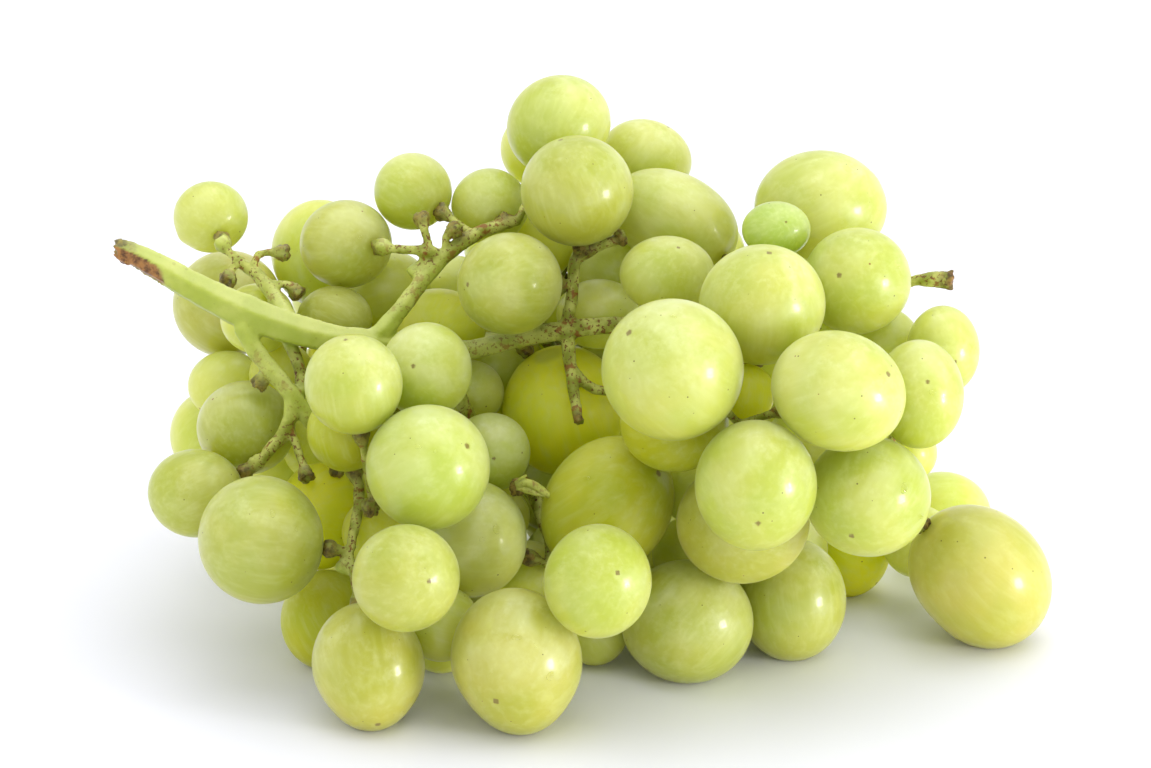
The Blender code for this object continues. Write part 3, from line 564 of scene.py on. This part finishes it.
def berry_skin(name, gloss, dust, bend):
    """Thin, waxy, translucent grape skin: pale bloom with painted light above, a painted deeper
    yellow below, tiny specks.

    gloss is its coat, dust its sheen, and bend its index of refraction.
    """
    s = Shader(name)
    grain = s.read("grain", vector=True)
    own = s.read("own", vector=True)
    bloom_and_painted_light = s.read("bloom_and_painted_light")
    low = s.read("low")
    stalkward = s.read("stalkward")
    tint = s.read("tint", vector=True)

    patches = s.noise(grain, 0.09, 2.0, 0.45)
    colour = s.mix(s.ramp(patches, 0.35, 0.65), (0.93, 0.97, 0.88), (1.06, 1.03, 1.12))
    colour = s.mix(1.0, tint, colour, "MULTIPLY")
    # painted light: the lower side turns a deeper, more saturated yellow, as of light shining
    # through the berry
    colour = s.mix(low, colour, s.mix(1.0, colour, (1.02, 1.00, 0.50), "MULTIPLY"))
    # faint streaks run from the stalk to the nose
    streaks = s.noise(s.stretch(own, (7.0, 7.0, 1.2)), 1.0, 3.0, 0.5, 0.3)
    colour = s.mix(s.ramp(streaks, 0.40, 0.80, 0.0, 0.16), colour, STREAK_GREEN)
    # soft pale clouds under the skin, strongest where the bloom lies, so painted paler on the upper
    # and right-hand sides where the lamps shine
    clouds_and_painted_light = s.ramp(s.noise(grain, 0.10, 3.0, 0.55, 0.5), 0.34, 0.72)
    clouds_and_painted_light = s.sum("MULTIPLY", clouds_and_painted_light, s.sum("MULTIPLY_ADD", bloom_and_painted_light, 0.42, 0.02))
    colour = s.mix(clouds_and_painted_light, colour, CLOUDS_AND_PAINTED_LIGHT)
    # bloom, a fine dust rubbed off in places, laid thicker on the upper and right-hand sides as
    # painted light
    mottle = s.noise(grain, 0.70, 6.0, 0.68)
    rubbed = s.noise(grain, 0.16, 2.0, 0.5, 1.0)
    bloom = s.sum("MULTIPLY", s.ramp(mottle, 0.40, 0.70), s.ramp(rubbed, 0.36, 0.64))
    bloom = s.sum("MULTIPLY", bloom, bloom_and_painted_light)
    colour = s.mix(s.sum("MULTIPLY", bloom, 0.24), colour, BLOOM_AND_PAINTED_LIGHT)
    # the nose and the stalk end are browner
    nose = s.ramp(stalkward, -0.9993, -0.9975, 1.0, 0.0)
    colour = s.mix(s.sum("MULTIPLY", nose, 0.8), colour, NOSE_BROWN)
    collar = s.ramp(stalkward, 0.955, 0.995)
    colour = s.mix(s.sum("MULTIPLY", collar, 0.5), colour, COLLAR_OLIVE)
    small = s.specks(grain, 0.55, 0.30, 0.085)
    large = s.specks(grain, 0.22, 0.22, 0.050)
    colour = s.mix(s.sum("MULTIPLY", small, 0.80), colour, SPECK_DARK)
    colour = s.mix(s.sum("MULTIPLY", large, 0.85), colour, SPECK_RUSTY)

    rough = s.sum("MULTIPLY_ADD", s.noise(grain, 0.35, 3.0), 0.12, 0.28)
    rough = s.sum("MULTIPLY_ADD", bloom, 0.20, rough)
    fine = s.noise(grain, 1.6, 4.0, 0.6)
    uneven = s.noise(grain, 0.28, 2.0, 0.5)
    normal = s.bump(fine, 0.22, 0.00006)
    normal = s.bump(uneven, 0.30, 0.00025, normal)
    s.surface(Base_Color=colour, Roughness=rough, IOR=bend, Normal=normal, **SKIN_SCATTER,
              Coat_Weight=gloss, Coat_Roughness=0.10, Coat_IOR=1.45,
              Sheen_Weight=dust, Sheen_Roughness=0.35, Sheen_Tint=(0.95, 1.0, 0.82, 1.0))
    return s.material


def stalk_skin():
    """The stalk: smooth pale green near the peduncle, with painted top light above and painted
    shade below, olive with red-brown specks further on.
    """
    s = Shader("stalk_look")
    grain = s.read("grain", vector=True)
    fresh = s.read("fresh")
    end = s.read("end")
    dry = s.read("dry")
    scar = s.read("scar")
    top = s.read("top")
    under = s.read("under")

    broad = s.noise(grain, 0.35, 3.0)
    colour = s.mix(s.ramp(broad, 0.36, 0.64), OLD_DARK, OLD_PALE)
    smooth = s.ramp(s.noise(grain, 0.14, 3.0), 0.35, 0.65)
    smooth = s.mix(smooth, FRESH_DARK, FRESH_PALE)
    # painted shade: the stalk is darker green on its lower side
    smooth = s.mix(s.sum("MULTIPLY", under, 0.55), smooth, PAINTED_SHADE_BELOW)
    colour = s.mix(fresh, colour, smooth)
    # painted top light: the upward-facing parts of the stalk are paler
    colour = s.mix(s.sum("MULTIPLY", top, 0.55), colour, PAINTED_TOP_LIGHT)
    # freckles and scars, dense where the stalk is thin
    bare = s.sum("SUBTRACT", 1.0, fresh)
    freckles = s.ramp(s.noise(grain, 1.5, 3.0, 0.55), 0.56, 0.63)
    colour = s.mix(s.sum("MULTIPLY", freckles, s.sum("MULTIPLY_ADD", bare, 0.86, 0.03)), colour,
                   FRECKLE)
    scars = s.ramp(s.noise(grain, 0.50, 3.0, 0.60), 0.57, 0.64)
    colour = s.mix(s.sum("MULTIPLY", scars, s.sum("MULTIPLY_ADD", bare, 0.80, 0.02)), colour,
                   SCAR)
    dots = s.specks(grain, 0.50, 0.40, 0.16)
    colour = s.mix(s.sum("MULTIPLY", dots, s.sum("MULTIPLY_ADD", bare, 0.75, 0.15)), colour,
                   DOT)
    # knobs: warty, brown and olive
    warts = s.ramp(s.noise(grain, 0.95, 4.0, 0.6), 0.40, 0.58)
    knob = s.mix(warts, KNOB_DARK, KNOB_BROWN)
    knob = s.mix(s.ramp(s.noise(grain, 0.60, 2.0, 0.5), 0.52, 0.62), knob, KNOB_OLIVE)
    colour = s.mix(s.sum("MULTIPLY", end, 0.90), colour, knob)
    # the cut end and the scar along its lower side
    wood = s.ramp(s.noise(grain, 0.7, 4.0, 0.6), 0.34, 0.58)
    wood = s.mix(wood, WOOD_DARK, WOOD_PALE)
    colour = s.mix(scar, colour, wood)
    husk = s.ramp(s.noise(grain, 0.8, 4.0), 0.40, 0.60)
    husk = s.mix(husk, HUSK_PALE, HUSK_DARK)
    colour = s.mix(dry, colour, husk)
    rough = s.sum("MULTIPLY_ADD", s.sum("MAXIMUM", fresh, dry), -0.16, 0.56)
    normal = s.bump(s.noise(grain, 2.2, 5.0, 0.6), 0.45, 0.00018)
    s.surface(Base_Color=colour, Roughness=rough, IOR=1.42, Normal=normal, **STALK_SCATTER)
    return s.material


def floor_white():
    """Plain white, a little uneven."""
    s = Shader("floor_white")
    where = s.add("ShaderNodeTexCoord").outputs["Object"]
    shade = s.ramp(s.noise(where, 3.0), 0.3, 0.7)
    s.surface(Base_Color=s.mix(shade, (0.890, 0.893, 0.975), (0.900, 0.903, 0.985)), Roughness=0.6)
    return s.material


# ------------------------------------------------------------------------------------ stalk
def stem_ends():
    """The flat end faces of the stalks and knobs: middle, outward direction and radius of each."""
    bm = joined_mesh(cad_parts["rachis"])
    ends = []
    for group in face_groups(
            bm, lambda first, _, other: first.normal.dot(other.normal) > FLAT_COSINE):
        if len(group) < 3:
            continue
        rim = [e for f in group for e in f.edges
               if len(e.link_faces) == 2 and sum(g in group for g in e.link_faces) == 1]
        area = sum(f.calc_area() for f in group)
        corners = np.array([v.co for e in rim for v in e.verts])
        middle = corners.mean(axis=0)
        widest = np.linalg.norm(corners - middle, axis=1).max()
        round_enough = area > ROUND_SHARE * math.pi * widest ** 2
        square_rim = all(e.calc_face_angle_signed() > RIM_ANGLE for e in rim)
        if area > END_AREA and round_enough and square_rim:
            ends.append((middle, np.array(group[0].normal), widest))
    bm.free()
    return ends


def remeshed(node, voxel):
    """A CAD node's mesh with even small cells: points, faces."""
    copy = bpy.data.objects.new("remesh_source", node.data.copy())
    bpy.context.scene.collection.objects.link(copy)
    remesh = copy.modifiers.new("even", "REMESH")
    remesh.mode = "VOXEL"
    remesh.voxel_size = voxel
    graph = bpy.context.evaluated_depsgraph_get()
    mesh = bpy.data.meshes.new_from_object(copy.evaluated_get(graph))
    spots = np.empty(len(mesh.vertices) * 3)
    mesh.vertices.foreach_get("co", spots)
    faces = [list(face.vertices) for face in mesh.polygons]
    old = copy.data
    bpy.data.objects.remove(copy)
    bpy.data.meshes.remove(old)
    bpy.data.meshes.remove(mesh)
    return spots.reshape(-1, 3), faces


def neighbour_pairs(faces):
    """The pairs of points that share an edge."""
    pairs = set()
    for face in faces:
        for a, b in zip(face, face[1:] + face[:1]):
            pairs.add((min(a, b), max(a, b)))
    return np.array(sorted(pairs))


def smoothed(values, pairs, rounds, share):
    """Values at points, each moved towards the mean of its neighbours."""
    count = np.bincount(pairs.ravel(), minlength=len(values)).astype(float)
    values = values.copy()
    flat = values.ndim == 1
    for step in range(rounds):
        total = np.zeros_like(values)
        np.add.at(total, pairs[:, 0], values[pairs[:, 1]])
        np.add.at(total, pairs[:, 1], values[pairs[:, 0]])
        mean = total / (count if flat else count[:, None])
        values += (share if step % 2 == 0 or flat else -share * 1.04) * (mean - values)
    return values


def point_normals(spots, faces):
    """The outward direction at each point."""
    quads = np.array([face if len(face) == 4 else face + face[-1:] for face in faces])
    across = np.cross(spots[quads[:, 2]] - spots[quads[:, 0]],
                      spots[quads[:, 3]] - spots[quads[:, 1]])
    normals = np.zeros_like(spots)
    for k in range(4):
        np.add.at(normals, quads[:, k], across)
    return normals / np.maximum(np.linalg.norm(normals, axis=1), 1e-12)[:, None]


def cut_aslant(spots, cut):
    """Slants the peduncle's cut end, so that its upper edge reaches further out."""
    near = np.clip(1 - (spots[:, 0] - cut) / CUT_REACH, 0, 1)
    tip = spots[near > 0.75]
    height = (spots - tip.mean(axis=0)) @ UP
    spots[:, 0] -= CUT_SLANT * near * np.clip(height, -CUT_HALF, CUT_HALF)
    return spots


def split_stub(spots, stub):
    """Opens the dried stub at the far end into two lobes."""
    tip = spots[stub > 0.5]
    if len(tip) == 0:
        return spots
    axis = tip[:, 2].mean()
    start = tip[:, 0].max() - SPLIT_REACH
    depth = np.clip((spots[:, 0] - start) / SPLIT_REACH, 0, 1) * (stub > 0)
    groove = np.exp(-((spots[:, 2] - axis) / SPLIT_WIDTH) ** 2)
    spots[:, 0] -= SPLIT_DEPTH * groove * depth
    spots[:, 2] += np.sign(spots[:, 2] - axis) * LOBE_SPREAD * depth * (1 - groove)
    return spots


def thickness(spots, normals, faces, pairs):
    """How thick the stalk is at each of its points, in mm."""
    tree = BVHTree.FromPolygons([Vector(s) for s in spots], faces)
    thick = np.empty(len(spots))
    for k, (spot, normal) in enumerate(zip(spots, normals)):
        hit = tree.ray_cast(Vector(spot - normal * 0.05 * MM), Vector(-normal))
        thick[k] = hit[3] / MM if hit[0] else 2.0
    return smoothed(np.clip(thick, 0.8, 8.0), pairs, *THICKNESS_SMOOTHING)


def knobs_grown(spots, ends, berries):
    """How far each point is part of a knob, and its move, so that held berries are touched."""
    knob = np.zeros(len(spots))
    reaching = np.zeros_like(spots)
    for middle, outward, widest in ends:
        away = np.linalg.norm(spots - middle, axis=1)
        knob = np.maximum(knob, np.exp(-(away / (widest + 1.0 * MM)) ** 4))
        gap = min(berry.depth_of(middle[None])[0] for berry in berries) - PLUMPNESS
        if gap < KNOB_REACH:
            share = np.clip(1.2 - away / (widest + 0.8 * MM), 0, 1)[:, None]
            reaching = np.where(share > 0, outward * (gap + KNOB_BITE) * share, reaching)
    return knob, reaching


def stalk_piece(berries, ends, material):
    """The whole stalk: knobs, warts, the scarred and slanted cut end, and the split dry stub."""
    spots, faces = remeshed(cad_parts["rachis"], STEM_VOXEL)
    pairs = neighbour_pairs(faces)
    spots = smoothed(spots, pairs, *SHAPE_SMOOTHING)
    normals = point_normals(spots, faces)
    thick = thickness(spots, normals, faces, pairs)
    knob, reaching = knobs_grown(spots, ends, berries)
    low, high = np.array(cad_box)
    along = (spots[:, 0] - low[0]) / (high[0] - low[0])
    stub = np.clip((along - STUB_START) / 0.015, 0, 1) * (spots[:, 2] > 0.5 * high[2])

    warts = np.array([noise.fractal(Vector(s / WART_WIDTH), 0.8, 2.0, 3) for s in spots])
    ripple = np.array([noise.noise(Vector(s / RIPPLE_WIDTH)) for s in spots])
    rise = RIPPLE_RISE * ripple + warts * (WART_RISE + KNOB_WART_RISE * np.maximum(knob, stub))
    rise *= np.clip(thick / 2.0, 0.5, 1.0)
    spots = spots + normals * (rise * MM + 0.05 * MM)[:, None] + reaching
    spots = split_stub(spots, stub)

    from_cut = (spots[:, 0] - low[0]) / MM
    facing = normals @ (0.55 * TOWARD - 0.80 * UP)
    length = CUT_DEPTH + SCAR_LENGTH * np.clip(1.6 * facing - 0.25, 0, 1) ** 0.7 + 1.2 * ripple
    scar = np.clip((length - from_cut) / 0.9, 0, 1)
    spots = cut_aslant(spots, low[0])
    spots -= normals * (SCAR_SINK * scar * (from_cut > 1.5))[:, None]
    fresh = np.clip((thick - 2.2) / 1.4, 0, 1) * np.clip((FRESH_END - along) / 0.16, 0, 1)
    attributes = {
        "grain": spots / MM,
        "fresh": fresh,
        "end": np.clip(knob * 1.1, 0, 1),
        "dry": stub,
        "scar": scar,
        # painted top light: top pales the parts that face upward
        "top": np.clip(normals[:, 2], 0, 1) ** 3 * np.clip(0.25 + fresh, 0, 1),
        # painted shade: under darkens the parts that face down
        "under": np.clip(-normals @ UP, 0, 1),
    }
    item = mesh_piece("stalk_skin", spots, faces, material, attributes)
    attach(item, "root")
    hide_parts("rachis")


# ---------------------------------------------------------------------------- small things
def tube(route, radii, sides):
    """A closed tube along a route: points, faces."""
    spots, faces = [], []
    side = np.array((0.0, 0.0, 1.0))
    for k, centre in enumerate(route):
        run = route[min(k + 1, len(route) - 1)] - route[max(k - 1, 0)]
        run = run / np.linalg.norm(run)
        side = side - run * (side @ run)
        side /= np.linalg.norm(side)
        other = np.cross(run, side)
        for n in range(sides):
            turn = 2 * math.pi * n / sides
            spots.append(centre + radii[k] * (math.cos(turn) * side + math.sin(turn) * other))
    for k in range(len(route) - 1):
        for n in range(sides):
            m = (n + 1) % sides
            faces.append([k * sides + n, k * sides + m, (k + 1) * sides + m, (k + 1) * sides + n])
    faces.append(list(range(sides))[::-1])
    faces.append([(len(route) - 1) * sides + n for n in range(sides)])
    return np.array(spots), faces


# strands left where a berry was pulled off: right, up and toward the viewer, then radius, in mm
STRANDS = (
    ((0.0, 0.4, 0.4, 0.7), (1.8, 0.9, 0.8, 0.85), (3.6, 0.2, 1.0, 0.75), (5.4, -1.2, 0.9, 0.7),
     (6.6, -1.9, 0.8, 0.35)),
    ((0.2, 0.0, 0.2, 0.6), (1.9, -0.5, 0.7, 0.7), (3.6, -1.1, 0.9, 0.5), (5.0, -1.6, 1.0, 0.25)),
    ((0.0, 0.6, 0.6, 0.5), (1.2, 1.7, 1.0, 0.4), (1.9, 2.2, 1.3, 0.18)),
)
STRAND_STEPS = 22
STRAND_SIDES = 12
# the bare knob: how far it lies from the first berry to the second, and how far before them
BARE_KNOB_SHARE = 0.30
BARE_KNOB_BEFORE = 4.0 * MM


def torn_brush(berries, ends, material):
    """The pale strands left on the bare knob in the middle, where a berry was pulled off."""
    near, far = (np.mean(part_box(name), axis=0) for name in ("middle_berry_02", "middle_berry_04"))
    between = (1 - BARE_KNOB_SHARE) * near + BARE_KNOB_SHARE * far + BARE_KNOB_BEFORE * TOWARD
    bare = [end for end in ends if min(b.depth_of(end[0][None])[0] for b in berries) > KNOB_REACH]
    start = min((end[0] for end in bare), key=lambda spot: np.linalg.norm(spot - between))
    spots, faces = [], []
    for strand in STRANDS:
        knots = np.array(strand) * MM
        places = start + knots[:, :1] * RIGHT + knots[:, 1:2] * UP + knots[:, 2:3] * TOWARD
        count = range(len(knots))
        steps = np.linspace(0, len(knots) - 1, STRAND_STEPS)
        route = np.stack([np.interp(steps, count, places[:, k]) for k in range(3)], axis=1)
        for _ in range(3):
            route[1:-1] = 0.25 * route[:-2] + 0.5 * route[1:-1] + 0.25 * route[2:]
        part, rings = tube(route, np.interp(steps, count, knots[:, 3]), STRAND_SIDES)
        faces += [[k + len(spots) for k in ring] for ring in rings]
        spots += list(part)
    spots = np.array(spots)
    uneven = np.array([noise.noise(Vector(s / (0.8 * MM))) for s in spots])
    spots += 0.12 * MM * uneven[:, None] * point_normals(spots, [f for f in faces if len(f) == 4])
    none = np.zeros(len(spots))
    attributes = {"grain": spots / MM, "fresh": none + 0.55, "end": none + 0.1, "dry": none,
                  "scar": none, "top": none, "under": none}
    item = mesh_piece("torn_brush", spots, faces, material, attributes)
    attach(item, "root")


# drops of water: the berry, right and up across its face, size in mm, stretch
DROPS = (
    ("crown_berry_02", 0.66, 0.40, 0.50, 1.0), ("crown_berry_02", 0.52, 0.62, 0.32, 1.2),
    ("crown_berry_09", 0.35, 0.10, 0.34, 1.3), ("crown_berry_06", 0.50, 0.30, 0.30, 1.0),
    ("left_berry_05", 0.25, 0.45, 0.52, 1.4), ("left_berry_05", 0.62, 0.20, 0.40, 1.2),
    ("left_berry_10", -0.12, 0.35, 0.42, 1.3), ("left_berry_10", 0.15, 0.28, 0.34, 1.0),
    ("left_berry_11", 0.35, 0.45, 0.38, 1.2), ("middle_berry_01", 0.52, -0.16, 0.60, 1.5),
    ("middle_berry_01", 0.02, 0.42, 0.58, 1.3), ("middle_berry_01", 0.30, 0.30, 0.36, 1.0),
    ("middle_berry_03", 0.45, 0.20, 0.62, 1.4), ("middle_berry_03", 0.20, 0.02, 0.40, 1.2),
    ("middle_berry_04", -0.30, 0.45, 0.46, 1.2), ("middle_berry_08", -0.02, 0.72, 0.40, 1.5),
    ("middle_berry_08", 0.66, 0.55, 0.40, 1.4), ("right_berry_11", 0.52, 0.15, 0.66, 1.5),
    ("right_berry_11", 0.80, -0.32, 0.50, 1.3), ("right_berry_09", 0.22, 0.05, 0.50, 1.2),
    ("right_berry_04", 0.42, -0.80, 0.34, 1.1), ("right_berry_06", 0.70, 0.25, 0.32, 1.3),
)
DROP_RINGS = 7
DROP_SIDES = 22
# a drop's height as a share of its size, its depth in the skin in mm, and its edge's waves
DROP_HEIGHT = 0.50
DROP_SUNK = 0.12
DROP_UNEVEN = (0.13, 0.08)


def water_look():
    """Clear water, a little uneven."""
    s = Shader("water_look")
    height = s.noise(s.read("grain", vector=True), 0.9, 2.0)
    s.surface(Base_Color=(1.0, 1.0, 0.96, 1.0), Roughness=0.03, IOR=1.33, Transmission_Weight=1.0,
              Normal=s.bump(height, 0.15, 0.0001))
    return s.material


def drop_rings(first, low, rings, around):
    """The faces of one drop from its upper rows, starting at first, and its lower ones, at low."""
    top_rows = [first] + [first + 1 + around * ring for ring in range(rings)]
    low_rows = [low] + [low + 1 + around * ring for ring in range(rings - 1)] + [top_rows[-1]]
    faces = []
    for rows, flip in ((top_rows, False), (low_rows, True)):
        for ring in range(rings):
            for k in range(around):
                m = (k + 1) % around
                if ring == 0:
                    face = [rows[0], rows[1] + k, rows[1] + m]
                else:
                    face = [rows[ring] + k, rows[ring + 1] + k, rows[ring + 1] + m, rows[ring] + m]
                faces.append(face[::-1] if flip else face)
    return faces


def water_drops(berries):
    """Low, uneven drops lying on the skins."""
    rings, around = DROP_RINGS, DROP_SIDES
    steps = [(ring / rings, 2 * math.pi * k / around, side)
             for side in (1, -1)
             for ring in range(rings + 1 if side > 0 else rings)
             for k in range(around if ring else 1)]
    share, angle, side = np.array(steps).T
    spots, faces = [], []
    for number, (node, right, up, size, stretch) in enumerate(DROPS):
        berry = berries[node]
        toward = math.sqrt(max(0.0, 1 - right ** 2 - up ** 2))
        way = right * RIGHT + up * UP + toward * TOWARD
        axes = turned_to(way)
        turn = 2.4 * number
        phases = np.random.default_rng(SEED + 500 + number).uniform(0, 2 * math.pi, 3)
        edge = (1 + DROP_UNEVEN[0] * np.sin(2 * angle + phases[0])
                + DROP_UNEVEN[1] * np.sin(3 * angle + phases[1]))
        a = size * MM * share * edge * np.cos(angle)
        b = size * MM * share * edge * np.sin(angle) * stretch
        a, b = a * math.cos(turn) - b * math.sin(turn), a * math.sin(turn) + b * math.cos(turn)
        aims = way * berry.reach(way) + a[:, None] * axes[:, 0] + b[:, None] * axes[:, 1]
        aims /= np.linalg.norm(aims, axis=1)[:, None]
        dome = DROP_HEIGHT * size * (1 - share ** 2) ** 0.5
        height = np.where(side > 0, dome, -DROP_SUNK * (1 - share))
        first = len(spots)
        faces += drop_rings(first, first + 1 + around * rings, rings, around)
        spots += list(skin_point(berry, aims, SEED + berry.number) + aims * height[:, None] * MM)
    spots = np.array(spots)
    item = mesh_piece("water_drops", spots, faces, water_look(), {"grain": spots / MM})
    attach(item, "root")


# ------------------------------------------------------------------------------- the studio
def area_light(name, place, height, size, power):
    """A square light that faces a height over the origin."""
    data = bpy.data.lights.new(name, "AREA")
    data.shape = "RECTANGLE"
    data.size = size
    data.size_y = size
    data.energy = power
    item = bpy.data.objects.new(name, data)
    item.location = place
    way = Vector((0, 0, height)) - Vector(place)
    item.rotation_euler = way.to_track_quat("-Z", "Y").to_euler()
    bpy.context.scene.collection.objects.link(item)


def studio():
    """A white room, a low key light from the right, a broad one above, the floor and the camera."""
    scene = bpy.context.scene
    world = bpy.data.worlds.new("white_room")
    scene.world = world
    world.use_nodes = True
    back = world.node_tree.nodes["Background"]
    back.inputs[0].default_value = ROOM_WHITE
    back.inputs[1].default_value = 1.0
    area_light("key", *KEY_LIGHT)
    area_light("top", *TOP_LIGHT)
    scene.view_settings.view_transform = "Standard"

    corners = [(x * FLOOR_HALF, y * FLOOR_HALF, 0) for x, y in ((-1, -1), (1, -1), (1, 1), (-1, 1))]
    mesh_piece("floor", corners, [[0, 1, 2, 3]], floor_white(), {})

    data = bpy.data.cameras.new("camera")
    data.lens = CAMERA_LENS
    data.sensor_width = SENSOR
    camera = bpy.data.objects.new("camera", data)
    middle = (Vector(cad_box[0]) + Vector(cad_box[1])) / 2 + CAMERA_OFF_MIDDLE
    camera.location = middle + Vector(TOWARD) * CAMERA_DISTANCE
    camera.rotation_euler = (math.pi / 2 - CAMERA_LEAN, 0, 0)
    scene.collection.objects.link(camera)
    scene.camera = camera


# ------------------------------------------------------------------------------------- make
def make_bunch():
    """The berries, the stalk, the torn strands and the drops."""
    stem = stem_points()
    # two copies of one skin: the glossy, dusty one, and the deep one with little coat and no sheen,
    # a painted shade for berries in shade
    materials = {"clear": berry_skin("bloomy_skin", 0.30, 0.10, 1.45),
                 "deep": berry_skin("deep_skin", 0.06, 0.0, 1.30)}
    fine = quad_ball(FINE_CELLS)
    plain = quad_ball(INNER_CELLS)
    berries = read_berries()
    for number, berry in enumerate(berries):
        point_to_stalk(berry, stem)
        berry.number = number
        ball = plain if berry.inner and berry.middle[1] > 0 else fine
        berry_piece(berry, ball, tint_of(berry, berries), materials)
    stalk = stalk_skin()
    ends = stem_ends()
    stalk_piece(berries, ends, stalk)
    torn_brush(berries, ends, stalk)
    water_drops({berry.node: berry for berry in berries if not berry.inner})


make_bunch()
studio()
bpy.context.view_layer.update()
